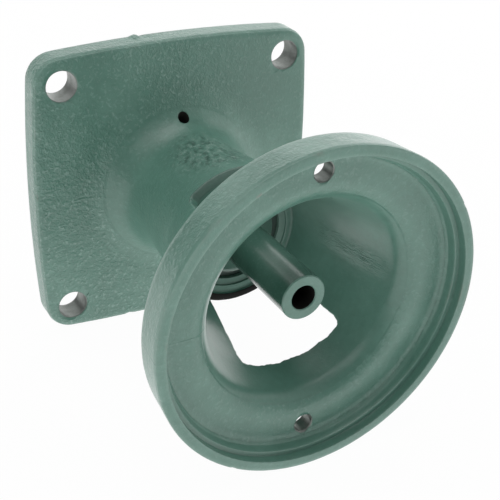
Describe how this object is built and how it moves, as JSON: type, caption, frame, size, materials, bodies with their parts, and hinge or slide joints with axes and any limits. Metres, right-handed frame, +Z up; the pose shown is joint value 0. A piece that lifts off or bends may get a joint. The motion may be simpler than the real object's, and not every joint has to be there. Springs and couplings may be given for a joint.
{
  "type": "pump bearing bracket",
  "caption": "Cast bearing bracket with a square bolt flange, a windowed bell ending in a ring flange, and a shaft that turns in sealed ball bearings.",
  "frame": {"origin": "centre of the square flange's bolt pattern, on the flange's machined back face", "axes": "Y along the shaft: +Y out of the back of the square flange towards the pump, -Y out of the open ring towards the motor; +Z up, towards the drain hole; X across"},
  "size_m": [0.1142, 0.146, 0.1142],
  "materials": {
    "green_casting_paint": "semi-gloss blue-green paint over a sand-cast surface",
    "green_shaft_paint": "the same paint over turned steel, smooth",
    "black_spring_steel": "black oxide",
    "spring_steel": "plain",
    "turned_steel": "turned",
    "bearing_steel": "ground",
    "ball_steel": "polished",
    "cage_plastic": "moulded",
    "shield_steel": "pressed, plain",
    "seal_rubber": "matt",
    "seal_case_steel": "pressed, plain"
  },
  "bodies": {
    "bracket": {"bracket_casting": "green_casting_paint", "housing_snap_ring": "black_spring_steel", "spring_washer": "spring_steel", "shaft_seal_case": "seal_case_steel", "shaft_seal_lip": "seal_rubber", "shaft_seal_spring": "spring_steel", "front_bearing_outer_race": "bearing_steel", "front_bearing_front_shield": "shield_steel", "front_bearing_rear_shield": "shield_steel", "rear_bearing_outer_race": "bearing_steel", "rear_bearing_front_shield": "shield_steel", "rear_bearing_rear_shield": "shield_steel"},
    "shaft": {"shaft": "green_shaft_paint", "front_bearing_inner_race": "bearing_steel", "rear_bearing_inner_race": "bearing_steel", "spacer_sleeve": "turned_steel", "front_shaft_snap_ring": "black_spring_steel", "rear_shaft_snap_ring": "black_spring_steel", "front_slinger": "green_shaft_paint", "water_slinger": "seal_rubber"},
    "front_cage": {"front_bearing_balls": "ball_steel", "front_bearing_cage": "cage_plastic"},
    "rear_cage": {"rear_bearing_balls": "ball_steel", "rear_bearing_cage": "cage_plastic"}
  },
  "joints": [
    {"name": "shaft_spin", "type": "hinge", "parent": "bracket", "child": "shaft", "pos_m": [0, 0, 0], "axis": [0, 1, 0], "continuous": true},
    {"name": "front_cage_spin", "type": "hinge", "parent": "bracket", "child": "front_cage", "pos_m": [0, -0.04835, 0], "axis": [0, 1, 0], "continuous": true},
    {"name": "rear_cage_spin", "type": "hinge", "parent": "bracket", "child": "rear_cage", "pos_m": [0, -0.0246, 0], "axis": [0, 1, 0], "continuous": true}
  ],
  "couplings": [
    {"joint": "front_cage_spin", "follows": "shaft_spin", "ratio": 0.3827},
    {"joint": "rear_cage_spin", "follows": "shaft_spin", "ratio": 0.3827}
  ]
}
